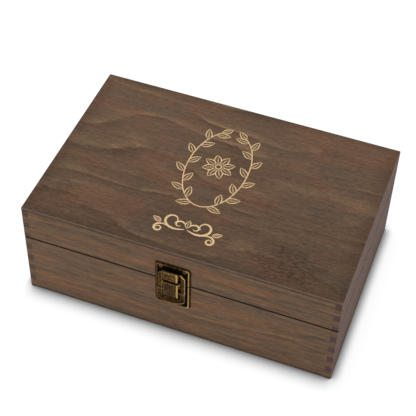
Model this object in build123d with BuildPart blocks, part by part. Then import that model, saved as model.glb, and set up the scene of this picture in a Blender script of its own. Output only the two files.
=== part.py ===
"""Keepsake box: a finger-jointed wooden box with a hinged lid and a toggle latch.

Millimetres. +Z is up and -Y is the front. The origin is under the middle of the base.
The box is glued up whole from four walls and two panels, then sawn apart at the seam, so the
fingers of the case and of the lid belong to one pattern, counted down from the top.
"""

from build123d import *

import os

# Driving dimensions: the box
box_width = 280.0
box_depth = 185.0
box_height = 102.0
wall = 6.0
panel = 3.0
seam_height = 66.2
saw_kerf = 0.5
finger_count = 14
edge_ease = 0.5
pilot_skin = 1.0

# Driving dimensions: the two butt hinges on the back
hinge_inset = 55.0
hinge_length = 30.0
leaf_height = 11.0
leaf_thick = 1.0
knuckle_radius = 2.0
knuckle_count = 3
knuckle_gap = 0.2
hinge_pin_radius = 1.0
hinge_pin_head = 0.6
running_gap = 0.05
wood_gap = 0.1
screw_radius = 0.8
screw_length = 5.0
screw_spacing = 18.0
shank_sides = 8

# Driving dimensions: the latch. Heights are counted from the seam, depths from the front face.
latch_x = -3.0
plate_width = 32.0
hook_plate_height = 20.9
base_plate_height = 29.0
plate_seam_gap = 0.5
plate_floor = 0.8
plate_crest = 1.4
plate_rim = 2.4
plate_bevel = 1.3
plate_corner = 3.5
tongue_width = 13.0
tongue_bevel = 1.1
tongue_corner = 1.5
hook_bottom = 8.5
hook_seat = 13.0
hook_top = 18.4
hook_throat = 5.8
hook_lip = 1.5
lever_pivot_depth = 4.2
lever_pivot_rise = 2.8
lever_barrel = 2.7
lever_face = 7.4
lever_back = 2.0
lever_boss_top = 5.7
lever_boss_thick = 1.9
lever_boss_drop = 11.5
lever_root_drop = 14.0
lever_tray_top = 11.2
lever_tray_foot = 15.7
lever_tray_crest = 4.7
lever_tray_floor = 3.7
lever_corner_drop = 17.7
lever_tip_drop = 20.9
lever_corner = 2.5
lip_flare = 1.8
lip_thick = 1.4
bail_pivot_depth = 3.7
bail_pivot_drop = 8.7
bail_thick = 1.5
bail_arm = 3.8
bail_bar = 2.1
bail_seat_gap = 0.1
bail_corner = 3.8
bail_bevel = 0.5
bail_eye = 1.9
side_play = 0.25
ear_thick = 1.2
ear_radius = 2.3
ear_shoulder = 2.5
ear_foot = 8.0
latch_pin_radius = 0.8
hook_nail_spacing = 21.0
hook_nail_inset = 4.0
base_nail_spacing = 17.0
base_nail_inset = 6.5
nail_head = 1.4
nail_head_thick = 0.5
nail_shank = 0.6
nail_length = 5.0

# Worked out from the driving dimensions
wall_top = box_height - panel
finger = (wall_top - panel) / finger_count
case_top = seam_height - saw_kerf / 2
lid_bottom = seam_height + saw_kerf / 2
hinge_axis_y = box_depth / 2 + knuckle_radius + wood_gap
hinge_spacing = box_width - 2 * hinge_inset
knuckle = hinge_length / knuckle_count
leaf_relief = knuckle_radius + knuckle_gap
screw_head_radius = screw_radius + leaf_thick
screw_level = (leaf_relief + leaf_height) / 2
bore_radius = latch_pin_radius + running_gap
hook_face = plate_floor + hook_throat + hook_lip
ear_inner = tongue_width / 2 + side_play
arm_inner = ear_inner + ear_thick + side_play
arm_outer = arm_inner + bail_arm
bail_foot_of_bar = hook_seat + bail_seat_gap
bail_top = bail_foot_of_bar + bail_bar

# Planes that face outwards from the box, with their local y up
front = Plane(origin=(0, -box_depth / 2, seam_height), x_dir=(1, 0, 0), z_dir=(0, -1, 0))
back = Plane(origin=(0, box_depth / 2, seam_height), x_dir=(-1, 0, 0), z_dir=(0, 1, 0))
left = Plane(origin=(-box_width / 2, 0, seam_height), x_dir=(0, -1, 0), z_dir=(-1, 0, 0))
right = Plane(origin=(box_width / 2, 0, seam_height), x_dir=(0, 1, 0), z_dir=(1, 0, 0))
latch = Plane(origin=(latch_x, -box_depth / 2, seam_height), x_dir=(1, 0, 0), z_dir=(0, -1, 0))
# The latch from its side: local x is the depth out from the front face, local y is up
latch_side = Plane(origin=latch.origin, x_dir=(0, -1, 0), z_dir=(-1, 0, 0))
outward = Axis((0, 0, 0), (0, -1, 0))

os.makedirs("parts", exist_ok=True)


def save(part, name):
    """Label a finished piece and write its file."""
    part.label = name
    export_step(part, f"parts/{name}.step")


# ---------------------------------------------------------------- the wooden box


def finger_spans(low, high, first):
    """Every second finger that shows between two levels, counted down from the walls' top."""
    spans = []
    for index in range(first, finger_count, 2):
        top = min(wall_top - index * finger, high)
        bottom = max(wall_top - (index + 1) * finger, low)
        if top > bottom:
            spans.append((bottom - seam_height, top - seam_height))
    return spans


def wall_board(outside, length, low, high, first, pilot_radius=0.0, pilots=()):
    """A wall between two levels: a board less the fingers of the walls that it meets."""
    with BuildPart() as board:
        with BuildSketch(outside.offset(-wall)):
            with Locations((0, (low + high) / 2 - seam_height)):
                Rectangle(length, high - low)
            for bottom, top in finger_spans(low, high, first):
                level = (bottom + top) / 2
                with Locations((wall / 2 - length / 2, level), (length / 2 - wall / 2, level)):
                    Rectangle(wall, top - bottom, mode=Mode.SUBTRACT)
        extrude(amount=wall)
        outer = board.faces().sort_by(Axis(outside.origin, outside.z_dir))[-1]
        corner_edges = [
            edge
            for edge in outer.edges()
            if abs(outside.to_local_coords(edge.center()).X) > length / 2 - wall / 2
            and edge.tangent_at(0.5).cross(Vector(0, 0, 1)).length < 0.5
        ]
        seam_edges = [
            edge for edge in outer.edges() if abs(edge.center().Z - seam_height) < saw_kerf
        ]
        chamfer(corner_edges + seam_edges, min(edge_ease, wall / 4))
        if pilots:
            with BuildSketch(outside):
                with Locations(*pilots):
                    RegularPolygon(pilot_radius, shank_sides)
            extrude(amount=pilot_skin - wall, mode=Mode.SUBTRACT)
    return board.part


def panel_board(bottom, eased_level):
    """The panel over one end of the walls, with its corners and its outer edges eased."""
    with BuildPart() as board:
        with BuildSketch(Plane.XY.offset(bottom)):
            Rectangle(box_width, box_depth)
        extrude(amount=panel)
        chamfer(board.edges().filter_by(Axis.Z), edge_ease)
        rim = board.faces().filter_by(Axis.Z).sort_by(Axis.Z)[-1 if eased_level else 0]
        chamfer(rim.edges(), min(edge_ease, panel / 3))
    return board.part


def hinge_places(up):
    """Where the screws of both leaves of one half go, on the back plane."""
    return [
        (side * hinge_spacing / 2 + step * screw_spacing / 2, up * screw_level)
        for side in (-1, 1)
        for step in (-1, 1)
    ]


def nail_places(up):
    """Where the two nails of a latch plate go, seen from the latch's own plane."""
    if up > 0:
        spacing = hook_nail_spacing
        level = plate_seam_gap + hook_plate_height - hook_nail_inset
    else:
        spacing = base_nail_spacing
        level = base_nail_inset - base_plate_height - plate_seam_gap
    return [(-spacing / 2, level), (spacing / 2, level)]


for half, low, high, up in (("case", panel, case_top, -1), ("lid", lid_bottom, wall_top, 1)):
    nails = [(x + latch_x, z) for x, z in nail_places(up)]
    save(wall_board(front, box_width, low, high, 0, nail_shank, nails), f"{half}_front")
    save(wall_board(back, box_width, low, high, 0, screw_radius, hinge_places(up)), f"{half}_back")
    save(wall_board(left, box_depth, low, high, 1), f"{half}_left")
    save(wall_board(right, box_depth, low, high, 1), f"{half}_right")
save(panel_board(0, False), "case_base")
save(panel_board(wall_top, True), "lid_top")


# ---------------------------------------------------------------- the two butt hinges


def hinge_leaf(x, up):
    """One leaf of a hinge: a screwed plate with every second knuckle of the barrel."""
    plate = Plane(origin=(x, back.origin.Y, seam_height), x_dir=(-1, 0, 0), z_dir=(0, 1, 0))
    pin_line = Plane(origin=(x, hinge_axis_y, seam_height), x_dir=(0, 1, 0), z_dir=(1, 0, 0))
    own = range(0 if up < 0 else 1, knuckle_count, 2)
    centres = [(index + 0.5) * knuckle - hinge_length / 2 for index in own]
    with BuildPart() as leaf:
        with BuildSketch(plate):
            with Locations((0, up * (leaf_relief + leaf_height) / 2)):
                Rectangle(hinge_length, leaf_height - leaf_relief)
            for centre in centres:
                with Locations((centre, up * leaf_height / 2)):
                    Rectangle(knuckle - knuckle_gap, leaf_height)
        extrude(amount=leaf_thick)
        for centre in centres:
            with BuildSketch(pin_line.offset(centre)):
                Circle(knuckle_radius)
            extrude(amount=(knuckle - knuckle_gap) / 2, both=True)
        with BuildSketch(pin_line):
            Circle(hinge_pin_radius + running_gap)
        extrude(amount=hinge_length, both=True, mode=Mode.SUBTRACT)
        with Locations(plate.offset(leaf_thick)):
            with Locations(
                (-screw_spacing / 2, up * screw_level), (screw_spacing / 2, up * screw_level)
            ):
                countersink(Mode.SUBTRACT)
    return leaf.part


def countersink(mode):
    """The cone of a screw's head, as deep as the leaf that it is sunk in."""
    hang = (Align.CENTER, Align.CENTER, Align.MAX)
    Cone(screw_radius, screw_head_radius, leaf_thick, align=hang, mode=mode)


def hinge_screws(up):
    """The screws of both leaves of one half, whose shanks fill their pilot holes."""
    with BuildPart() as screws:
        with Locations(back.offset(leaf_thick)):
            with Locations(*hinge_places(up)):
                countersink(Mode.ADD)
        with BuildSketch(back.offset(leaf_thick)):
            with Locations(*hinge_places(up)):
                RegularPolygon(screw_radius, shank_sides)
        extrude(amount=-screw_length)
    return screws.part


def hinge_pin(x):
    """A hinge's pin, peened into a small flat head at each end."""
    with BuildPart() as pin:
        with BuildSketch(Plane(origin=(x, hinge_axis_y, seam_height), z_dir=(1, 0, 0))):
            Circle(hinge_pin_radius)
        extrude(amount=hinge_length / 2, both=True)
        for end in (-1, 1):
            with BuildSketch(
                Plane(
                    origin=(x + end * hinge_length / 2, hinge_axis_y, seam_height),
                    z_dir=(end, 0, 0),
                )
            ):
                Circle(hinge_pin_radius + hinge_pin_head)
            extrude(amount=hinge_pin_head)
    return pin.part


for side, x in (("left", -hinge_spacing / 2), ("right", hinge_spacing / 2)):
    save(hinge_leaf(x, -1), f"hinge_{side}_case_leaf")
    save(hinge_leaf(x, 1), f"hinge_{side}_lid_leaf")
    save(hinge_pin(x), f"hinge_{side}_pin")
save(hinge_screws(-1), "hinge_case_screws")
save(hinge_screws(1), "hinge_lid_screws")


# ---------------------------------------------------------------- the toggle latch


def raised_plate(up, height):
    """A latch plate: a pressed pan whose bevelled rim runs round three sides, not the seam's."""
    middle = up * (plate_seam_gap + height / 2)
    far = -1 if up > 0 else 0
    with BuildPart() as plate:
        with BuildSketch(latch) as outline:
            with Locations((0, middle)):
                Rectangle(plate_width, height)
            fillet(outline.vertices().group_by(Axis.Y)[far], plate_corner)
        extrude(amount=plate_crest)
        face = plate.faces().sort_by(outward)[-1]
        seam_edge = face.edges().sort_by(Axis.Z)[0 if up > 0 else -1]
        chamfer([edge for edge in face.edges() if edge != seam_edge], plate_bevel)
        with BuildSketch(latch.offset(plate_floor)) as pan:
            with Locations((0, middle - up * plate_rim / 2)):
                Rectangle(plate_width - 2 * plate_rim, height - plate_rim)
            fillet(pan.vertices().group_by(Axis.Y)[far], plate_corner / 2)
        extrude(amount=plate_crest, mode=Mode.SUBTRACT)
        with Locations(latch.offset(plate_floor)):
            with Locations(*nail_places(up)):
                Hole(nail_shank, plate_floor)
    return plate.part


def latch_nails(up):
    """The two nails of a latch plate, whose flat round heads stand on the pan's floor."""
    with BuildPart() as nails:
        with BuildSketch(latch.offset(plate_floor)):
            with Locations(*nail_places(up)):
                Circle(nail_head)
        extrude(amount=nail_head_thick)
        with BuildSketch(latch.offset(plate_floor)):
            with Locations(*nail_places(up)):
                RegularPolygon(nail_shank, shank_sides)
        extrude(amount=-nail_length)
    return nails.part


# The lid's plate carries the hook: a block with a seat for the bail's bar, behind a tall lip
with BuildPart() as latch_hook_plate:
    add(raised_plate(1, hook_plate_height))
    with BuildSketch(latch_side):
        with BuildLine():
            Polyline(
                (plate_floor / 2, hook_bottom),
                (hook_face, hook_bottom),
                (hook_face, hook_top),
                (hook_face - hook_lip, hook_top),
                (hook_face - hook_lip, hook_seat),
                (plate_floor / 2, hook_seat),
                close=True,
            )
        make_face()
    extrude(amount=tongue_width / 2, both=True)
    lip_corners = [
        edge
        for edge in latch_hook_plate.edges().filter_by(Axis.Y)
        if abs(edge.center().Z - seam_height - hook_top) < tongue_corner / 4
    ]
    fillet(lip_corners, tongue_corner)
    chamfer(latch_hook_plate.faces().sort_by(outward)[-1].edges(), tongue_bevel)
save(latch_hook_plate.part, "latch_hook_plate")
save(latch_nails(1), "latch_hook_nails")

# The case's plate carries two ears that hold the lever's pin
with BuildPart() as latch_base_plate:
    add(raised_plate(-1, base_plate_height))
    for side in (-1, 1):
        with BuildSketch(latch_side.offset(side * (ear_inner + ear_thick / 2))):
            with Locations((lever_pivot_depth, lever_pivot_rise)):
                Circle(ear_radius)
            with Locations((plate_floor / 2, -(ear_shoulder + ear_foot) / 2)):
                Rectangle(plate_floor / 2, ear_foot - ear_shoulder)
            make_hull()
        extrude(amount=ear_thick / 2, both=True)
    with BuildSketch(latch_side):
        with Locations((lever_pivot_depth, lever_pivot_rise)):
            Circle(latch_pin_radius)
    extrude(amount=plate_width / 2, both=True, mode=Mode.SUBTRACT)
save(latch_base_plate.part, "latch_base_plate")
save(latch_nails(-1), "latch_base_nails")

# The lever: a tray with a flared lip below, and a flat-faced boss that runs up past its barrel
with BuildPart() as latch_lever:
    with BuildSketch(latch) as tray_outline:
        with BuildLine():
            Polyline(
                (-arm_outer, -lever_corner_drop),
                (-arm_outer, -lever_tray_top),
                (arm_outer, -lever_tray_top),
                (arm_outer, -lever_corner_drop),
            )
            ThreePointArc(
                (arm_outer, -lever_corner_drop), (0, -lever_tip_drop), (-arm_outer, -lever_corner_drop)
            )
        make_face()
        fillet(tray_outline.vertices().group_by(Axis.Y)[0], lever_corner)
    extrude(amount=2 * lever_face)
    with BuildSketch(latch_side):
        with BuildLine():
            Polyline(
                (lever_back, -lever_tray_top),
                (lever_tray_crest, -lever_tray_top),
                (lever_tray_crest, -lever_tray_foot),
                (lever_tray_crest + lip_flare, -lever_tip_drop),
                (lever_tray_crest + lip_flare - lip_thick, -lever_tip_drop - lip_thick),
                (lever_back, lip_thick - lever_corner_drop),
                close=True,
            )
        make_face()
    extrude(amount=arm_outer, both=True, mode=Mode.INTERSECT)
    with BuildSketch(latch.offset(lever_tray_floor)):
        with Locations((0, -(lever_tray_top + lever_tray_foot) / 2)):
            Rectangle(2 * arm_inner, lever_tray_foot - lever_tray_top)
    extrude(amount=lever_face, mode=Mode.SUBTRACT)
    with BuildSketch(latch_side):
        with BuildLine():
            Polyline(
                (lever_back, lever_pivot_rise),
                (lever_face - lever_boss_thick, lever_pivot_rise),
                (lever_face - lever_boss_thick, lever_boss_top),
                (lever_face, lever_boss_top),
                (lever_face, -lever_boss_drop),
                (lever_tray_floor, -lever_root_drop),
                (lever_back, -lever_root_drop),
                close=True,
            )
        make_face()
        with Locations((lever_pivot_depth, lever_pivot_rise)):
            Circle(lever_barrel)
    extrude(amount=tongue_width / 2, both=True)
    boss_face = latch_lever.faces().sort_by(outward)[-1]
    chamfer(boss_face.edges(), tongue_bevel)
    for depth, rise, radius in (
        (lever_pivot_depth, lever_pivot_rise, bore_radius),
        (bail_pivot_depth, -bail_pivot_drop, latch_pin_radius),
    ):
        with BuildSketch(latch_side):
            with Locations((depth, rise)):
                Circle(radius)
        extrude(amount=plate_width / 2, both=True, mode=Mode.SUBTRACT)
save(latch_lever.part, "latch_lever")

# The bail: a pressed hoop with two arms, rolled into an eye at each end
with BuildPart() as latch_bail:
    with BuildSketch(latch.offset(bail_pivot_depth - bail_thick / 2)) as hoop:
        with Locations((0, (bail_top - bail_pivot_drop) / 2)):
            Rectangle(2 * arm_outer, bail_top + bail_pivot_drop)
        chamfer(hoop.vertices().group_by(Axis.Y)[-1], bail_corner)
        with Locations((0, (bail_foot_of_bar - bail_pivot_drop) / 2)):
            Rectangle(2 * arm_inner, bail_foot_of_bar + bail_pivot_drop, mode=Mode.SUBTRACT)
    extrude(amount=bail_thick)
    chamfer(latch_bail.faces().sort_by(outward)[-1].edges(), bail_bevel)
    for side in (-1, 1):
        with BuildSketch(latch_side.offset(side * (arm_inner + bail_arm / 2))):
            with Locations((bail_pivot_depth, -bail_pivot_drop)):
                Circle(bail_eye)
        extrude(amount=bail_arm / 2, both=True)
    with BuildSketch(latch_side):
        with Locations((bail_pivot_depth, -bail_pivot_drop)):
            Circle(bore_radius)
    extrude(amount=plate_width / 2, both=True, mode=Mode.SUBTRACT)
save(latch_bail.part, "latch_bail")


def latch_pin(depth, rise, half_length):
    """A plain pin across the latch."""
    with BuildPart() as pin:
        with BuildSketch(latch_side):
            with Locations((depth, rise)):
                Circle(latch_pin_radius)
        extrude(amount=half_length, both=True)
    return pin.part


save(latch_pin(lever_pivot_depth, lever_pivot_rise, ear_inner + ear_thick), "latch_lever_pin")
save(latch_pin(bail_pivot_depth, -bail_pivot_drop, arm_outer), "latch_bail_pin")
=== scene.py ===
"""Keepsake box: the finishes of its stained wood and antique brass, the ornament burnt into its lid,
its eased latch and hinges, and the pale studio floor that it stands on."""
import math

import bmesh
import bpy
import numpy as np
from mathutils import Matrix, Vector


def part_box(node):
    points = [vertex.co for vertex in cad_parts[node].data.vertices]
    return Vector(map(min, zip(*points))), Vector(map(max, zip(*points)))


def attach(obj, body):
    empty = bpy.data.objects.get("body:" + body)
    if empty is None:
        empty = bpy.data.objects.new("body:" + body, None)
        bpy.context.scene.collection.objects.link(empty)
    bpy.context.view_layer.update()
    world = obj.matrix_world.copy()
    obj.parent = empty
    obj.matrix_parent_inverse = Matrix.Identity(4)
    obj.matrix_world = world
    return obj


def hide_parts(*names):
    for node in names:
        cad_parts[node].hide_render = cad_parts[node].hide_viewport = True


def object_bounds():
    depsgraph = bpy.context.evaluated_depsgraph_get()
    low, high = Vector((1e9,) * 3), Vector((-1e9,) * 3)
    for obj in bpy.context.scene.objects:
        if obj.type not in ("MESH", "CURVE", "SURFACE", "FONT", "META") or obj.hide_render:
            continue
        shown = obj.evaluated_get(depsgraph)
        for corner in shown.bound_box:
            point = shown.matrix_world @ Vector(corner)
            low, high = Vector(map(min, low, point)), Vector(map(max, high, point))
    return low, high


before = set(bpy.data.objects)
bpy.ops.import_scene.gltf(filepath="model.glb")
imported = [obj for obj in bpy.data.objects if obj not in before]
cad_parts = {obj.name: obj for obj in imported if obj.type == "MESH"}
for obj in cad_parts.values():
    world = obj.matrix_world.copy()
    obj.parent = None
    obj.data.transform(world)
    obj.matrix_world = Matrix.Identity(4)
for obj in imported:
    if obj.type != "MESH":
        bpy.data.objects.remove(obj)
cad_low, cad_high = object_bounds()

MM = 0.001

# ---------------------------------------------------------------- places read off the frame

box_top = cad_high.z
front_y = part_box("case_front")[0].y
half_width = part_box("lid_top")[1].x
half_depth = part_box("lid_top")[1].y
seam_level = (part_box("case_front")[1].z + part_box("lid_front")[0].z) / 2
latch_middle = sum(corner.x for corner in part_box("latch_hook_plate")) / 2


def level(red, green, blue):
    """A display colour, 0 to 255 each, as the linear colour that a shader takes."""
    parts = np.array([red, green, blue]) / 255
    linear = np.where(parts <= 0.04045, parts / 12.92, ((parts + 0.055) / 1.055) ** 2.4)
    return (*linear.tolist(), 1.0)


# ---------------------------------------------------------------- drawing up a finish


class Wire:
    """A socket of a drawing's nodes. Arithmetic on wires adds the nodes that work it out."""

    def __init__(self, drawing, socket):
        self.drawing = drawing
        self.socket = socket

    def _combine(self, operation, first, second):
        kinds = [part.socket.type for part in (first, second) if isinstance(part, Wire)]
        kind = "ShaderNodeVectorMath" if "VECTOR" in kinds else "ShaderNodeMath"
        return self.drawing.node(kind, {"operation": operation}, {0: first, 1: second})

    def __add__(self, other):
        return self._combine("ADD", self, other)

    __radd__ = __add__

    def __sub__(self, other):
        return self._combine("SUBTRACT", self, other)

    def __rsub__(self, other):
        return self._combine("SUBTRACT", other, self)

    def __mul__(self, other):
        return self._combine("MULTIPLY", self, other)

    __rmul__ = __mul__

    def __truediv__(self, other):
        return self._combine("DIVIDE", self, other)

    def __rtruediv__(self, other):
        return self._combine("DIVIDE", other, self)

    def __pow__(self, other):
        return self._combine("POWER", self, other)

    def __rpow__(self, other):
        return self._combine("POWER", other, self)


class Drawing:
    """A tree of nodes being drawn up."""

    def __init__(self, tree):
        self.nodes = tree.nodes
        self.links = tree.links

    def node(self, kind, settings=None, inputs=None, output=0):
        """Add a node: first its settings, then the values or links of its sockets."""
        made = self.nodes.new(kind)
        for name, value in (settings or {}).items():
            if name == "stops":
                self.set_stops(made.color_ramp, value)
            else:
                setattr(made, name, value)
        for key, value in (inputs or {}).items():
            self.feed(made.inputs[key], value)
        return Wire(self, made.outputs[output])

    def set_stops(self, ramp, stops):
        """Give a colour ramp its stops, each a position and a colour."""
        ramp.interpolation = "B_SPLINE"
        while len(ramp.elements) < len(stops):
            ramp.elements.new(1.0)
        for element, (position, colour) in zip(ramp.elements, stops):
            element.position = position
            element.color = colour

    def feed(self, socket, value):
        """Set a socket to a value, or link a wire to it."""
        if isinstance(value, Wire):
            self.links.new(value.socket, socket)
        elif socket.type == "VECTOR" and not hasattr(value, "__len__"):
            socket.default_value = (value, value, value)
        else:
            socket.default_value = value

    def function(self, operation, value, other=0.0):
        """A function of numbers that Python's arithmetic has no sign for."""
        return self.node("ShaderNodeMath", {"operation": operation}, {0: value, 1: other})

    def absolute(self, value):
        """A number without its sign."""
        return self.function("ABSOLUTE", value)

    def largest(self, first, *others):
        """The largest of some numbers."""
        for other in others:
            first = self.function("MAXIMUM", first, other)
        return first

    def ease(self, value, low, high, bottom=0.0, top=1.0):
        """A smooth step from bottom to top as the value goes from low to high."""
        return self.node(
            "ShaderNodeMapRange",
            {"interpolation_type": "SMOOTHSTEP"},
            {"Value": value, "From Min": low, "From Max": high, "To Min": bottom, "To Max": top},
        )

    def on_rays(self, *kinds):
        """1 on rays of any of the named kinds, and 0 on all others."""
        return self.largest(
            *(self.node("ShaderNodeLightPath", output=f"Is {kind} Ray") for kind in kinds)
        )


class Finish(Drawing):
    """A material being drawn up: its nodes, its shader, and the place on the object in mm."""

    def __init__(self, name, **constants):
        self.material = bpy.data.materials.new(name)
        self.material.use_nodes = True
        super().__init__(self.material.node_tree)
        self.shader = self.nodes["Principled BSDF"]
        for socket, value in constants.items():
            self.shader.inputs[socket.replace("_", " ")].default_value = value

    def place(self):
        """The place on the object, in millimetres."""
        return self.node("ShaderNodeTexCoord", output="Object") * (1 / MM)

    def normal(self):
        """The three parts of the way that the surface faces."""
        return self.split(self.node("ShaderNodeTexCoord", output="Normal"))

    def split(self, vector):
        """The three parts of a vector."""
        return [
            self.node("ShaderNodeSeparateXYZ", inputs={0: vector}, output=axis) for axis in range(3)
        ]

    def join(self, x, y, z):
        """A vector from its three parts."""
        return self.node("ShaderNodeCombineXYZ", inputs={0: x, 1: y, 2: z})

    def noise(self, place, size, detail=2.0, roughness=0.5):
        """Smooth noise about 0.5 whose lumps have about the given size, one number or three."""
        return self.node(
            "ShaderNodeTexNoise",
            inputs={"Vector": place / size, "Scale": 1.0, "Detail": detail, "Roughness": roughness},
        )

    def blend(self, share, under, over, mode="MIX"):
        """Lay one colour over another by a share from 0 to 1."""
        return self.node(
            "ShaderNodeMix",
            {"data_type": "RGBA", "blend_type": mode},
            {0: share, 6: under, 7: over},
            output=2,
        )

    def shaded(self, colour, factor):
        """A colour made darker or lighter by a factor."""
        return self.blend(1.0, colour, factor, "MULTIPLY")

    def relief(self, height, distance):
        """A soft bump from a height between 0 and 1, as deep as the distance in millimetres."""
        inputs = {"Height": height, "Distance": distance * MM, "Strength": 0.5}
        return self.node("ShaderNodeBump", inputs=inputs)

    def wear(self, **surface):
        """Feed the shader what changes over the surface."""
        for socket, value in surface.items():
            self.feed(self.shader.inputs[socket.replace("_", " ")], value)


# ---------------------------------------------------------------- stained wood

# Sizes of the wood's marks in mm: along its fibres, across the board and through it
fray_size = (9, 2.5, 5)
fading_size = (90, 22, 60)
streak_size = (26, 2.2, 6)
fleck_size = (5, 1.3, 2)
fibre_size = (9, 0.35, 0.6)
pore_size = (4.5, 0.22, 0.5)

# Sizes of marks that don't follow the fibres, in mm along the box's own axes
speckle_size = (1.2, 1.2, 1.0)
ragged_size = (16, 9, 9)

# How far a step in seed moves a wood's place in the noises, in mm, and its rings, in rings
seed_step_along = 310.0
seed_step_through = 70.0
seed_step_rings = 0.37

# How far the grey clouds' place in the noise lies from the warm clouds', in mm
grey_cloud_shift = 37.0

# Where marks lie, in mm: the box's skin from its faces, the seam's painted shade from the seam, and
# the middle stretch in which the left end's tone gives way to the right end's
skin = (-1.0, -0.6)
seam_shade_band = (0.7, 1.15)
between_ends = (-20.0, 20.0)

# How squarely a surface must face an axis to count as looking along it
squarely = (0.85, 0.95)


def growth_rings(finish, board, across, tones, figure, seed):
    """A sawtooth of growth rings, each fading from a tan line to a dark one. It is bent by three
    noises that are long in the fibres' direction, so that it closes into arches, and it fades
    into the middle tone in places."""
    sway = finish.noise(board, figure["sway_size"], 1.0)
    ripple = finish.noise(board, figure["ripple_size"])
    fray = finish.noise(board, fray_size)
    ring = (
        across / figure["spacing"]
        + sway * figure["sway"]
        + ripple * figure["ripple"]
        + fray * figure["fray"]
        + seed * seed_step_rings
    )
    stops = [
        (0.0, tones["dark"]),
        (0.07, tones["light"]),
        (0.32, tones["middle"]),
        (0.70, tones["middle"]),
        (1.0, tones["dark"]),
    ]
    tooth = finish.function("FRACT", ring)
    ringed = finish.node("ShaderNodeValToRGB", {"stops": stops}, {"Fac": tooth})
    strength = finish.ease(finish.noise(board, fading_size, 1.0), 0.38, 0.62, 0.15)
    return finish.blend(strength * figure["contrast"], tones["middle"], ringed)


def stain_clouds(finish, colour, tone, place, size, threshold):
    """Lay a tone over the colour in soft clouds, where a noise passes its threshold."""
    cloud = finish.ease(finish.noise(place, size, 2.0, 0.55), threshold, threshold + 0.18)
    return finish.blend(cloud * 0.8, colour, tone)


def stain_patch(finish, parts, fleck, patch):
    """How dark a speckled oval patch is, where the wood has drunk more stain: the distance from
    its middle in reaches, squared, made ragged by a noise."""
    x = (parts[0] - patch["x"]) / patch["reach_x"]
    y = (parts[1] - patch["y"]) / patch["reach_y"]
    ragged = finish.noise(finish.place(), ragged_size, 3.0, 0.6)
    inside = finish.ease(x * x + y * y + (ragged - 0.5) * 2.4, 0.2, 1.3, 1.0, 0.0)
    return 1.0 - inside * finish.ease(fleck, 0.35, 0.62, 0.42, 0.08)


def past_faces(finish, parts):
    """How far past the box's left or right face a place lies, and how far past its front or back
    face, in mm. Both are below 0 inside the box."""
    return (
        finish.absolute(parts[0]) - half_width / MM,
        finish.absolute(parts[1]) - half_depth / MM,
    )


def darker_rim(finish, parts, streak):
    """How dark a panel is near its rim: darker towards its edges, raggedly along the streaks."""
    past_side, past_front = past_faces(finish, parts)
    side = finish.ease(past_side + streak * 14.0, -10.0, 6.0)
    front = finish.ease(past_front + streak * 8.0, -8.0, 4.0)
    return 1.0 - finish.largest(side, front) * 0.22


def stained_wood(name, grain, tones, figure, seed):
    """Boards stained brown. Grain says which axis the fibres follow, which one crosses the board
    and which one is its thickness. Over the growth rings lie warm and grey clouds of stain,
    streaks, flecks, fibres and pores. The fibres' ends have their own tones. The eased corners
    that don't face left carry a pale painted highlight mixed with wear, and the outer chamfers
    by the seam carry painted shade, the dark of the gap between lid and case.

    The figure gives the rings' spacing in mm, how many rings each noise bends them by, and the
    noises' sizes in mm along, across and through the board. Then it says how strongly the rings,
    streaks and flecks show, and what share of the shade each mm along and across takes or adds,
    the latter counted from the middle. Across the sides that is painted shade, darker lower down."""
    finish = Finish(name, Specular_IOR_Level=0.05)
    parts = finish.split(finish.place())
    along, across, through = (parts["xyz".index(axis)] for axis in grain)
    board = finish.join(along + seed * seed_step_along, across, through + seed * seed_step_through)

    colour = growth_rings(finish, board, across, tones, figure, seed)
    colour = stain_clouds(finish, colour, tones["warm"], board, figure["cloud_size"], 0.48)
    grey_place = board + grey_cloud_shift
    colour = stain_clouds(finish, colour, tones["grey"], grey_place, figure["cloud_size"], 0.50)

    streak = finish.noise(board, streak_size, 3.0, 0.6)
    fleck = finish.noise(board, fleck_size, 2.0, 0.65)
    fibre = finish.noise(board, fibre_size, 2.0, 0.6)
    pore = finish.ease(finish.noise(board, pore_size, 1.0), 0.66, 0.74)
    shade = (
        1.0
        + (streak - 0.5) * figure["streak"]
        + (fleck - 0.5) * figure["fleck"]
        + (fibre - 0.5) * 0.4
        - pore * 0.3
        # Gradients along and across the board. Across the sides it is painted shade, darker lower
        # down
        - along * figure["fade_along"]
        + (across - figure["middle"]) * figure["fade_across"]
    )
    if "patch" in figure:
        shade = shade * stain_patch(finish, parts, fleck, figure["patch"])
        shade = shade * darker_rim(finish, parts, streak)
    colour = finish.shaded(colour, shade)

    normal = finish.normal()
    facing = [finish.absolute(normal["xyz".index(axis)]) for axis in grain]
    speckle = finish.noise(finish.place(), speckle_size)
    end = finish.blend(finish.ease(parts[0], *between_ends), tones["left_end"], tones["right_end"])
    end = finish.shaded(end, 0.6 + speckle * 0.8)
    colour = finish.blend(finish.ease(facing[0], *squarely), colour, end)
    if "edge" in tones:
        edge = finish.shaded(tones["edge"], shade)
        colour = finish.blend(finish.ease(facing[1], *squarely), colour, edge)
    # Painted highlight mixed with wear: a pale line on the eased corners, left off those that face
    # left
    corner = finish.ease(finish.largest(*facing), 0.8, 0.95, 1.0, 0.0)
    eased = corner * finish.ease(normal[0], -0.5, -0.2)
    colour = finish.blend(eased * (0.4 + speckle * 0.6), colour, tones["worn"])

    # Painted shade: the outer chamfers by the seam take the dark of the gap between lid and case
    outer = finish.largest(*(finish.ease(past, *skin) for past in past_faces(finish, parts)))
    from_seam = finish.absolute(parts[2] - seam_level / MM)
    seam_shade_mask = outer * finish.ease(from_seam, *seam_shade_band, 1.0, 0.0)
    colour = finish.blend(seam_shade_mask, colour, tones["seam"])

    finish.wear(
        Base_Color=colour,
        Roughness=0.46 + fibre * 0.22 + pore * 0.1,
        Normal=finish.relief(fibre - pore * 0.6 + streak * 0.5, 0.10),
    )
    return finish


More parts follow.
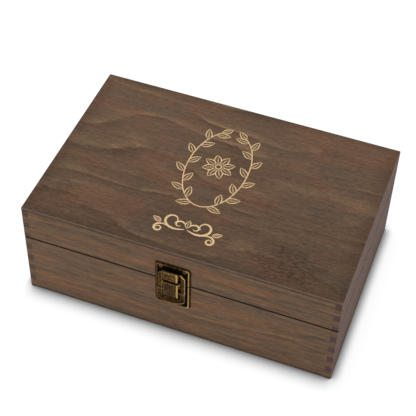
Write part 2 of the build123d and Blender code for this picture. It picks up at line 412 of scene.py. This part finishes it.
# The dark tone of the painted shade at the seam
seam_tone = level(42, 30, 25)
left_end = level(90, 74, 62)
right_end = level(82, 63, 60)
# The pale tone of the corners' painted highlight, mixed with wear
worn_and_highlit_tone = level(122, 103, 96)
case_middle = box_top / MM / 2

top_wood = stained_wood(
    "walnut_stained_top",
    grain="xyz",
    tones={
        "light": level(134, 108, 82),
        "middle": level(100, 78, 62),
        "dark": level(80, 62, 49),
        "warm": level(107, 79, 61),
        "grey": level(93, 77, 63),
        "left_end": level(96, 78, 68),
        "right_end": level(98, 76, 68),
        "edge": level(106, 85, 69),
        "worn": level(118, 104, 98),
        "seam": seam_tone,
    },
    figure={
        "spacing": 28.0,
        "sway": 4.0,
        "sway_size": (150, 56, 60),
        "ripple": 0.6,
        "ripple_size": (70, 20, 18),
        "fray": 0.22,
        "cloud_size": (60, 24, 30),
        "contrast": 1.0,
        "streak": 0.8,
        "fleck": 1.2,
        "middle": 0.0,
        "fade_along": 0.0002,
        "fade_across": 0.0013,
        "patch": {"x": 88.0, "y": -70.0, "reach_x": 34.0, "reach_y": 20.0},
    },
    seed=1.0,
)
front_wood = stained_wood(
    "walnut_stained_front",
    grain="xzy",
    tones={
        "light": level(136, 103, 74),
        "middle": level(110, 87, 69),
        "dark": level(87, 71, 60),
        "warm": level(127, 92, 67),
        "grey": level(95, 82, 69),
        "left_end": left_end,
        "right_end": right_end,
        "worn": worn_and_highlit_tone,
        "seam": seam_tone,
    },
    figure={
        "spacing": 13.0,
        "sway": 2.4,
        "sway_size": (190, 40, 60),
        "ripple": 0.4,
        "ripple_size": (60, 9, 20),
        "fray": 0.2,
        "cloud_size": (95, 8.0, 20),
        "contrast": 0.75,
        "streak": 1.0,
        "fleck": 0.9,
        "middle": case_middle,
        "fade_along": 0.0007,
        "fade_across": 0.0,
    },
    seed=2.0,
)
side_wood = stained_wood(
    "walnut_stained_side",
    grain="yzx",
    tones={
        "light": level(113, 85, 74),
        "middle": level(95, 69, 59),
        "dark": level(76, 55, 47),
        "warm": level(104, 72, 60),
        "grey": level(90, 69, 61),
        "left_end": left_end,
        "right_end": right_end,
        "worn": worn_and_highlit_tone,
        "seam": seam_tone,
    },
    figure={
        "spacing": 15.0,
        "sway": 1.6,
        "sway_size": (190, 40, 60),
        "ripple": 0.4,
        "ripple_size": (60, 9, 20),
        "fray": 0.2,
        "cloud_size": (80, 7, 20),
        "contrast": 0.9,
        "streak": 1.2,
        "fleck": 0.8,
        "middle": case_middle,
        "fade_along": 0.0,
        # Painted shade: the side darker towards the floor
        "fade_across": 0.003,
    },
    seed=3.0,
)


def dress(finish, *nodes):
    """Give CAD nodes a finish in place of the plain one that they came with."""
    for node in nodes:
        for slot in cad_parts[node].material_slots:
            slot.material = finish.material


dress(top_wood, "lid_top", "case_base")
for half in ("case", "lid"):
    dress(front_wood, f"{half}_front", f"{half}_back")
    dress(side_wood, f"{half}_left", f"{half}_right")

# ---------------------------------------------------------------- antique brass

# Sizes of the latch and its nails in mm. Its depths are measured out from the box's front face
nail_head_thick = 0.5
nail_head = 1.4
nail_shank = 0.6
nail_length = 5.0
tray_depth = 3.7
pan_depth = (front_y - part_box("latch_hook_nails")[0].y) / MM - nail_head_thick

# Across a hinge screw's slot: its share to the side and its share upwards
slot_normal = (0.8, 0.6)

# Black for patina and painted shade, brown for the faces, and gold for rubbed edges and painted
# highlights
patina_and_shade_black = level(12, 8, 5)
deep_brown = level(48, 31, 15)
rubbed_and_highlight_gold = level(186, 152, 88)

# Where the latch's wear, painted highlights and painted shade lie, in mm: right of its middle line
# ...
# The crest's painted highlight grows in over the first stretch and dims over the second
crest_highlight_start = (10.5, 13.0)
crest_rim = (14.3, 14.7)
# The painted highlight on the lip's tip grows over this stretch
lip_highlight_sides = (-8.0, 10.0)
# ... and above the seam
# Painted shade at the boss's top, under the hook, and on the lip; the tip is rubbed and highlit
boss_shade = (4.9, 5.3)
lip_shade = (-11.0, -12.5)
lip_tip = (-16.5, -17.5)


def plate_wear_and_painted_light(finish, rubbed_and_highlit, black, wear):
    """The wear and painted light of a latch plate. Its pan is black with patina, which also stands
    for the shade under the lever and bail. Its crest has a painted highlight in gold along its
    right side, dimmed over the rim's outer half, and its bevels are dark with painted shade. The
    hook, which stands out past the crest, wears as other brass does."""
    crest_depth = pan_depth + 0.35
    hook_depth = pan_depth + 0.75
    on_plate = finish.ease(wear["depth"], hook_depth, hook_depth + 0.2, 1.0, 0.0)
    crest = on_plate * finish.ease(wear["depth"], crest_depth, crest_depth + 0.15)
    # Black patina in the pan, which also stands for the shade under the lever and bail
    pan = (on_plate - crest) * finish.ease(wear["facing"], 0.8, 0.95)
    # Painted highlight along the crest's right side, dimmed over the rim's outer half
    right_side = finish.ease(wear["reach"], *crest_highlight_start, 0.05)
    right_side = right_side * finish.ease(wear["reach"], *crest_rim, 1.15, 0.15)
    crest_highlight = crest * (1.0 - wear["bevelled"]) * right_side * wear["worn"]
    rubbed_and_highlit = rubbed_and_highlit * (1.0 - on_plate) + crest_highlight
    # Painted shade on the plate's bevels
    return rubbed_and_highlit, finish.largest(black, pan, on_plate * wear["bevelled"] * 0.7)


def lever_wear_and_painted_light(finish, rubbed_and_highlit, black, wear):
    """The wear and painted light of the lever. It is black as deep as its tray, patina that also
    stands for the shade there, and black with painted shade at its boss's top, under the hook.
    Its lip is darkened with painted shade, and gold along its tip: rubbed, with a painted
    highlight that grows towards the right."""
    # Black patina as deep as the tray, also standing for the shade in it
    hollow = finish.ease(wear["depth"], tray_depth + 0.2, tray_depth + 0.5, 1.0, 0.0)
    # The lip's tip: rubbed gold, with a painted highlight that grows towards the right
    tip = finish.ease(wear["turned"], 0.002, 0.02) * finish.ease(wear["upward"], 0.25, -0.1)
    tip = tip * finish.ease(wear["rise"], *lip_tip)
    rubbed_and_highlit = finish.largest(rubbed_and_highlit, tip * finish.ease(wear["reach"], *lip_highlight_sides, 0.45, 1.2))
    # Painted shade: black at the boss's top, under the hook, and a dark lip
    boss = finish.ease(wear["rise"], *boss_shade)
    lip = finish.ease(wear["rise"], *lip_shade, 0.1, 0.4) * (1.0 - rubbed_and_highlit)
    return rubbed_and_highlit, finish.largest(black, hollow, boss, lip)


def antique_brass(name, edge_reach, light=level(92, 63, 28), own_wear_and_painted_light=None):
    """Brass darkened with age. Faces that look out of the box's front are brown. The bevels and
    edges round them are rubbed to gold, and a painted highlight makes that gold far stronger on
    those that face right. Walls and backs are black with painted shade, and hollows with patina.
    A piece may have its own wear and painted light besides."""
    finish = Finish(name, Metallic=0.35, Specular_IOR_Level=0.03)
    place = finish.place()
    x, y, z = finish.split(place)
    facing = finish.normal()[1] * -1.0
    rounded = finish.node("ShaderNodeBevel", {"samples": 8}, {"Radius": edge_reach * MM})
    real = finish.node("ShaderNodeNewGeometry", output="Normal")
    likeness = finish.node(
        "ShaderNodeVectorMath", {"operation": "DOT_PRODUCT"}, {0: rounded, 1: real}, output="Value"
    )
    turned = 1.0 - likeness
    cloud = finish.noise(place, 2.6, 3.0, 0.6)
    grit = finish.noise(place, 0.5, 2.0, 0.6)

    rightward, _, upward = finish.split(rounded)
    # Painted highlight: edges and bevels that face right get the most gold, those that face left a
    # quarter
    highlit_right = finish.ease(rightward, 0.0, 0.4, 0.24, 1.0)
    near_edge = finish.ease(turned, 0.01, 0.10)
    bevelled = finish.ease(facing, 0.76, 0.92, 1.0, 0.0)
    worn = finish.ease(cloud + (grit - 0.5) * 0.5, 0.25, 0.55, 0.6)
    rubbed_and_highlit = finish.largest(near_edge * 0.8, bevelled) * highlit_right * worn
    # Painted shade: faces that turn away from the box's front are black, save near the highlit edges
    black = finish.ease(facing, 0.25, 0.55, 1.0, 0.0) * (1.0 - near_edge * highlit_right * 0.8)
    if own_wear_and_painted_light is not None:
        # Depth out from the front face, reach right of the latch's middle line and rise above the
        # seam are in mm
        wear = {
            "depth": front_y / MM - y,
            "reach": x - latch_middle / MM,
            "rise": z - seam_level / MM,
            "facing": facing,
            "upward": upward,
            "turned": turned,
            "bevelled": bevelled,
            "worn": worn,
        }
        rubbed_and_highlit, black = own_wear_and_painted_light(finish, rubbed_and_highlit, black, wear)

    brown = finish.blend(finish.ease(cloud, 0.35, 0.65), deep_brown, light)
    colour = finish.blend(rubbed_and_highlit, brown, rubbed_and_highlight_gold)
    colour = finish.blend(black * 0.97, colour, patina_and_shade_black)
    finish.wear(
        Base_Color=colour,
        Roughness=0.38 + cloud * 0.2 + black * 0.25,
        Normal=finish.relief(grit + cloud, 0.03),
    )
    return finish


def plain_brass(name, dark, light, blackened=None):
    """Brass in a small part: clouds of dark and light, and black where the part's own function
    says so."""
    finish = Finish(name, Metallic=0.6, Specular_IOR_Level=0.05)
    place = finish.place()
    cloud = finish.noise(place, 1.5, 3.0, 0.6)
    colour = finish.blend(cloud, dark, light)
    if blackened is not None:
        colour = finish.blend(blackened(finish, finish.split(place)), colour, patina_and_shade_black)
    finish.wear(Base_Color=colour, Roughness=0.35 + cloud * 0.2)
    return finish


def nail_hollows(finish, parts):
    """Where a nail's head lies deeper than its rolled rim."""
    rim_depth = pan_depth + nail_head_thick - 0.2
    return finish.ease(front_y / MM - parts[1], rim_depth, rim_depth + 0.12, 1.0, 0.0)


def screw_slots(finish, parts):
    """Where a screw's head has its slot or its rim, both painted dark as the shade in a slot and
    round a head. A head's own place is found by folding the back of the box onto one screw:
    across its middle, across a hinge's middle and across the seam. The slot is a line through the
    head's middle, and the rim a ring at its edge."""
    low, high = (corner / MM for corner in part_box("hinge_case_screws"))
    head = (high.z - low.z) / 2
    hinge_middle = sum(corner.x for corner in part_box("hinge_right_case_leaf")) / 2 / MM
    from_hinge = finish.absolute(finish.absolute(parts[0]) - hinge_middle)
    across = from_hinge - (high.x - head - hinge_middle)
    rise = finish.absolute(parts[2] - seam_level / MM) - (seam_level / MM - low.z - head)
    from_middle = finish.function("SQRT", across * across + rise * rise)
    from_slot = finish.absolute(across * slot_normal[0] + rise * slot_normal[1])
    rim = finish.ease(from_middle, head - 0.3, head - 0.1)
    slot = finish.ease(from_slot, 0.18, 0.3, 1.0, 0.0)
    return finish.largest(rim, slot) * 0.9


plate_brass = antique_brass(
    "antique_brass_plates", edge_reach=0.7, light=level(114, 78, 34), own_wear_and_painted_light=plate_wear_and_painted_light
)
lever_brass = antique_brass("antique_brass_lever", edge_reach=0.9, own_wear_and_painted_light=lever_wear_and_painted_light)
bail_brass = antique_brass("antique_brass_bail", edge_reach=1.2)
nail_brass = plain_brass(
    "antique_brass_nails", level(120, 92, 52), level(176, 142, 86), nail_hollows
)
hinge_brass = plain_brass("antique_brass_hinges", level(52, 36, 22), level(150, 118, 64))
screw_brass = plain_brass(
    "antique_brass_screws", level(80, 58, 34), level(166, 132, 76), screw_slots
)


def claim(piece, body, finish):
    """Put a finished piece into the scene, riding on a body."""
    piece.data.materials.clear()
    piece.data.materials.append(finish.material)
    bpy.context.scene.collection.objects.link(piece)
    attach(piece, body)


rounded_from = math.radians(30)
crisp_ridge = math.radians(50)
crisp_hollow = math.radians(20)
weld_distance = 0.001


def eased_copy(node, body, finish, roundness):
    """A copy of a CAD node, with its loose triangles joined and its sharp outer edges rounded
    over. Edges in a hollow stay crisp, and flat faces are shaded flat. The rounding is done in
    millimetres, since its tolerances are too coarse for so small a piece in metres."""
    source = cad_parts[node]
    mesh = source.data.copy()
    mesh.transform(Matrix.Scale(1 / MM, 4) @ source.matrix_world)
    shell = bmesh.new()
    shell.from_mesh(mesh)
    bmesh.ops.remove_doubles(shell, verts=shell.verts, dist=weld_distance)
    sharp = [
        edge
        for edge in shell.edges
        if edge.is_manifold and edge.is_convex and edge.calc_face_angle() > rounded_from
    ]
    bmesh.ops.bevel(
        shell,
        geom=sharp,
        offset=roundness,
        offset_type="OFFSET",
        segments=2,
        profile=0.5,
        affect="EDGES",
        clamp_overlap=True,
    )
    for edge in shell.edges:
        edge.smooth = edge.calc_face_angle(0.0) < (crisp_ridge if edge.is_convex else crisp_hollow)
    bmesh.ops.triangulate(shell, faces=[face for face in shell.faces if len(face.verts) > 4])
    shell.to_mesh(mesh)
    shell.free()
    mesh.transform(Matrix.Scale(MM, 4))
    mesh.polygons.foreach_set("use_smooth", np.full(len(mesh.polygons), True))
    piece = bpy.data.objects.new(f"{node}_eased", mesh)
    flat_faces = piece.modifiers.new("flat_faces", "WEIGHTED_NORMAL")
    flat_faces.keep_sharp = True
    claim(piece, body, finish)
    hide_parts(node)


def ring_nails(node, body, ring_radius):
    """Two nails in a latch plate: a head rolled into a ring round a dark hollow, over a shank. The
    outline is turned about each nail's own line: radius by depth from the front face."""
    low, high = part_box(node)
    outline = np.array(
        [
            (nail_shank, pan_depth - nail_length),
            (nail_shank, pan_depth),
            (ring_radius, pan_depth),
            (ring_radius, pan_depth + 0.25),
            (ring_radius - 0.25, pan_depth + nail_head_thick),
            (ring_radius - 0.55, pan_depth + nail_head_thick),
            (ring_radius - 0.8, pan_depth + 0.1),
        ]
    )
    sides = 28
    turn = np.linspace(0, 2 * np.pi, sides, endpoint=False)
    index = np.arange(len(outline) * sides).reshape(len(outline), sides)
    onward = np.roll(index, -1, axis=1)
    quads = np.stack([index[:-1], onward[:-1], onward[1:], index[1:]], axis=-1).reshape(-1, 4)
    shell = quads.tolist() + [index[0, ::-1].tolist(), index[-1].tolist()]
    points = []
    faces = []
    for middle in (low.x / MM + nail_head, high.x / MM - nail_head):
        faces += [[corner + len(points) * index.size for corner in face] for face in shell]
        x = middle + outline[:, :1] * np.cos(turn)
        y = front_y / MM - outline[:, 1:] + np.zeros(sides)
        z = (low.z + high.z) / 2 / MM + outline[:, :1] * np.sin(turn)
        points.append(np.stack([x, y, z], axis=-1).reshape(-1, 3))
    mesh = bpy.data.meshes.new(f"{node}_rings")
    mesh.from_pydata((np.concatenate(points) * MM).tolist(), [], faces)
    mesh.polygons.foreach_set("use_smooth", np.full(len(mesh.polygons), True))
    mesh.set_sharp_from_angle(angle=crisp_ridge)
    piece = bpy.data.objects.new(f"{node}_rings", mesh)
    claim(piece, body, nail_brass)
    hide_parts(node)


eased_copy("latch_hook_plate", "lid", plate_brass, roundness=0.22)
eased_copy("latch_base_plate", "case", plate_brass, roundness=0.22)
eased_copy("latch_lever", "lever", lever_brass, roundness=0.25)
eased_copy("latch_bail", "bail", bail_brass, roundness=0.18)
ring_nails("latch_hook_nails", "lid", ring_radius=nail_head + 0.3)
ring_nails("latch_base_nails", "case", ring_radius=nail_head)
dress(hinge_brass, "latch_lever_pin", "latch_bail_pin")
dress(screw_brass, "hinge_case_screws", "hinge_lid_screws")
for side in ("left", "right"):
    dress(hinge_brass, f"hinge_{side}_pin")
    for half in ("case", "lid"):
        eased_copy(f"hinge_{side}_{half}_leaf", half, hinge_brass, roundness=0.15)

# ---------------------------------------------------------------- the ornament burnt into the lid

# A bead's height and the step from one layer of strokes to the next, in mm, and how far a bead is
# sunk in the lid, in heights
bead_height = 0.12
bead_sink = 0.5
layer_step = 0.008
layers = 5


def ribbons(strokes, widths):
    """Flat-bottomed beads along strokes in the lid's plane. Each stroke is a row of points with a
    width at each. The bead's section, across in widths and up in heights, is a low arch of four
    points over two points sunk in the lid. One stroke in five is at the same height, so that
    strokes that cross don't share a face."""
    strokes = np.asarray(strokes)
    widths = np.asarray(widths)
    heading = np.gradient(strokes, axis=1)
    heading /= np.maximum(np.linalg.norm(heading, axis=2, keepdims=True), 1e-9)
    side = np.stack([-heading[..., 1], heading[..., 0]], axis=-1)
    section = np.array(
        [(-0.5, -bead_sink), (-0.5, 0.3), (-0.25, 0.9), (0.25, 0.9), (0.5, 0.3), (0.5, -bead_sink)]
    )
    offset = side[:, :, None, :] * (widths[:, :, None, None] * section[None, None, :, :1])
    flat = strokes[:, :, None, :] + offset
    layer = np.arange(len(strokes))[:, None, None] % layers * layer_step
    rise = np.broadcast_to(box_top / MM + bead_height * section[:, 1] + layer, flat.shape[:3])
    points = np.concatenate([flat, rise[..., None]], axis=-1)
    count, length, corners = points.shape[:3]
    index = np.arange(count * length * corners).reshape(count, length, corners)
    turned = np.roll(index, -1, axis=2)
    quads = np.stack([index[:, :-1], index[:, 1:], turned[:, 1:], turned[:, :-1]], axis=-1)
    faces = quads.reshape(-1, 4).tolist()
    faces += index[:, 0, :].tolist() + index[:, -1, ::-1].tolist()
    return points.reshape(-1, 3), faces


# Each stroke's share of its length from its foot to its tip, and how its width goes with it: a pen
# tapers at both ends, a brush swells below its middle, and an even line stays as it is
share = np.linspace(0, 1, 41)
swell = np.sin(np.pi * share ** 0.8)
pen = np.sin(np.pi * np.clip(share, 0.02, 0.98)) ** 0.5
brush = 0.25 + 0.75 * swell
even = np.ones(len(share))
strokes = []
thickness = []
middle_line = latch_middle / MM
line_width = 1.0


def draw(stroke, width, shape=pen, sides=(1, -1)):
    """Add a stroke on one side of the ornament's middle line and its mirror image on the other, or
    on one side alone."""
    for side in sides:
        strokes.append((stroke - (middle_line, 0)) * (side, 1) + (middle_line, 0))
        thickness.append(width * shape)


def leaf(foot, heading, length, bulge, sides=(1, -1)):
    """Draw a leaf: its outline as two strokes from foot to tip that bow by its bulge, and its
    midrib between, three quarters as long."""
    ahead = np.array([math.cos(heading), math.sin(heading)])
    aside = np.array([-ahead[1], ahead[0]])
    bow = np.outer(swell * bulge, aside)
    rib = foot + np.outer(share * length, ahead)
    draw(rib + bow, line_width, sides=sides)
    draw(rib - bow, line_width, sides=sides)
    draw(foot + np.outer(share * length * 0.75, ahead), line_width * 0.7, sides=sides)


def scroll(foot, heading, length, bend, curl, width):
    """Draw a brushed scroll. Its bend, in radians per millimetre, goes evenly from one value at
    its foot to another at its tip, and the points are the running sum of its short steps."""
    angle = heading + length * (bend * share + (curl - bend) * share ** 2 / 2)
    run = np.cumsum(np.stack([np.cos(angle), np.sin(angle)], axis=-1), axis=0)
    draw(foot + run * length / len(share), width, brush)


wreath_middle = np.array([middle_line, 12.0])
wreath_reach = np.array([27.0, 48.0])


def wreath_line(turn):
    """The wreath's oval: a turn of 0 is its foot and 1 its crown."""
    return wreath_middle + wreath_reach * np.stack(
        [np.sin(np.pi * turn), -np.cos(np.pi * turn)], axis=-1
    )


def wreath_heading(turn):
    """Which way the oval runs at a turn."""
    ahead = wreath_line(turn + 0.01) - wreath_line(turn)
    return math.atan2(ahead[1], ahead[0])


# The wreath: its line on each side, ten leaves that lean out and in by turns, and one at its end
wreath_end = 0.86
first_leaf = 0.09
leaf_spacing = 0.08
leaf_lean = 0.75
leaves_a_side = 10
draw(wreath_line(wreath_end * share), line_width, even)
for index in range(leaves_a_side):
    turn = first_leaf + leaf_spacing * index
    lean = leaf_lean if index % 2 else -leaf_lean
    leaf(wreath_line(turn), wreath_heading(turn) + lean, length=13.0, bulge=2.7)
leaf(wreath_line(wreath_end), wreath_heading(wreath_end), length=11.0, bulge=2.5)

# A rosette inside the wreath: eight petals round a small ring
rosette_middle = wreath_middle + (0.0, 2.0)
petal_foot = 3.6
rosette_ring = 2.6
for petal in range(4):
    heading = math.radians(-67.5 + 45 * petal)
    foot = rosette_middle + petal_foot * np.array([math.cos(heading), math.sin(heading)])
    leaf(foot, heading, length=11.0, bulge=3.0)
half_turn = np.pi * (share - 0.5)
half_ring = rosette_ring * np.stack([np.cos(half_turn), np.sin(half_turn)], axis=-1)
draw(rosette_middle + half_ring, line_width, even)

# A flourish of brushed scrolls and small leaves under the wreath
flourish_foot = np.array([middle_line, -62.0])
for foot, degrees, length, bend, curl, width in (
    ((0.0, -2.5), -22, 44.0, 0.01, 0.26, 2.2),
    ((16.0, -4.2), 22, 30.0, -0.06, -0.50, 1.9),
    ((1.5, 1.0), 62, 18.0, -0.11, -0.47, 1.7),
):
    scroll(flourish_foot + foot, math.radians(degrees), length, bend, curl, width)
leaf(flourish_foot + (22.5, -1.4), math.radians(24), length=9.0, bulge=1.9)
leaf(flourish_foot + (0.0, -1.0), math.radians(90), length=9.0, bulge=2.2, sides=(1,))

points, faces = ribbons(strokes, thickness)
engraving = Finish("bared_wood", Specular_IOR_Level=0.2)
grain = engraving.noise(engraving.place(), (6, 0.6, 1), 2.0)
engraving.wear(
    Base_Color=engraving.blend(grain, level(206, 172, 124), level(236, 206, 158)),
    Roughness=0.6 + grain * 0.2,
)
ornament_mesh = bpy.data.meshes.new("lid_ornament")
ornament_mesh.from_pydata((points * MM).tolist(), [], faces)
ornament_mesh.polygons.foreach_set("use_smooth", np.full(len(faces), True))
claim(bpy.data.objects.new("lid_ornament", ornament_mesh), "lid", engraving)

# ---------------------------------------------------------------- floor, light and camera

floor_finish = Finish(
    "studio_floor", Base_Color=(0.9, 0.9, 0.9, 1), Roughness=1.0, Specular_IOR_Level=0.0
)
floor_x = floor_finish.split(floor_finish.place())[0]

# How far the contact shadow reaches, in metres: less past the box's left and right sides
shadow_length = 0.018
box_left = -half_width / MM
box_right = half_width / MM
shadow_reach = (
    shadow_length
    * floor_finish.ease(floor_x, box_left - 10.0, box_left + 2.0, 0.3, 1.0)
    * floor_finish.ease(floor_x, box_right - 4.0, box_right + 10.0, 1.0, 0.6)
)
closed_in = 1.0 - floor_finish.node(
    "ShaderNodeAmbientOcclusion", {"samples": 16}, {"Distance": shadow_reach}, output="AO"
)
shadow = floor_finish.function("MINIMUM", closed_in * 2.0, 1.0) ** 1.5

# How brightly the open floor glows, and how much of that the deepest shadow takes
open_glow = 0.87
shadow_depth = 0.76
glow = floor_finish.node(
    "ShaderNodeEmission",
    inputs={"Color": (1, 1, 1, 1), "Strength": open_glow - shadow * shadow_depth},
)
dim = floor_finish.node("ShaderNodeBsdfDiffuse", inputs={"Color": (0.19, 0.2, 0.205, 1)})
both = floor_finish.node("ShaderNodeAddShader", inputs={0: dim, 1: glow})
mixed = floor_finish.node(
    "ShaderNodeMixShader",
    inputs={
        0: floor_finish.on_rays("Camera", "Glossy"),
        1: Wire(floor_finish, floor_finish.shader.outputs[0]),
        2: both,
    },
)
floor_finish.feed(floor_finish.nodes["Material Output"].inputs["Surface"], mixed)

floor_reach = 4.0
floor_mesh = bpy.data.meshes.new("studio_floor")
floor_mesh.from_pydata(
    [(x * floor_reach, y * floor_reach, 0.0) for x, y in ((-1, -1), (1, -1), (1, 1), (-1, 1))],
    [],
    [(0, 1, 2, 3)],
)
floor_mesh.materials.append(floor_finish.material)
floor = bpy.data.objects.new("studio_floor", floor_mesh)
bpy.context.scene.collection.objects.link(floor)

world = bpy.data.worlds.new("studio")
world.use_nodes = True
bpy.context.scene.world = world
studio = Drawing(world.node_tree)
backdrop = studio.nodes["Background"]
backdrop.inputs["Color"].default_value = (1, 1, 1, 1)

# How brightly the backdrop lights the box, where it is white to look at
light_on_box = 0.45
strength = studio.node(
    "ShaderNodeMapRange",
    inputs={
        "Value": studio.on_rays("Camera", "Glossy", "Transmission"),
        "To Min": light_on_box,
        "To Max": 1.0,
    },
)
studio.feed(backdrop.inputs["Strength"], strength)

lamp_aim = Vector((0, 0, 0.05))


def add_lamp(name, place, power, size):
    """A square soft lamp that faces the box."""
    lamp = bpy.data.lights.new(name, "AREA")
    lamp.energy = power
    lamp.size = size
    lamp_object = bpy.data.objects.new(name, lamp)
    lamp_object.location = place
    towards = lamp_aim - lamp_object.location
    lamp_object.rotation_euler = towards.to_track_quat("-Z", "Y").to_euler()
    bpy.context.scene.collection.objects.link(lamp_object)


add_lamp("softbox_overhead", place=(-0.10, 0.14, 1.6), power=11.0, size=0.4)
add_lamp("softbox_front", place=(1.0, -1.5, 0.5), power=10.0, size=0.7)

view_azimuth = math.radians(19.06)
view_elevation = math.radians(47.0)
view_roll = math.radians(1.93)
view_distance = 1.0273
view_aim = Vector((-8.2, 4.8, 56.8)) * MM
view_lens = 99.6
film_width = 36.0


def add_camera():
    """A camera at its bearing, height and roll about the point that it aims at."""
    sin_a, cos_a = math.sin(view_azimuth), math.cos(view_azimuth)
    sin_e, cos_e = math.sin(view_elevation), math.cos(view_elevation)
    backwards = Vector((sin_a * cos_e, -cos_a * cos_e, sin_e))
    level_right = Vector((cos_a, sin_a, 0))
    level_up = backwards.cross(level_right)
    right = level_right * math.cos(view_roll) + level_up * math.sin(view_roll)
    up = backwards.cross(right)
    camera = bpy.data.objects.new("camera", bpy.data.cameras.new("camera"))
    camera.data.lens = view_lens
    camera.data.sensor_width = film_width
    turned = Matrix((right, up, backwards)).transposed().to_4x4()
    camera.matrix_world = Matrix.Translation(view_aim + backwards * view_distance) @ turned
    bpy.context.scene.collection.objects.link(camera)
    bpy.context.scene.camera = camera


add_camera()
bpy.context.scene.view_settings.view_transform = "Standard"
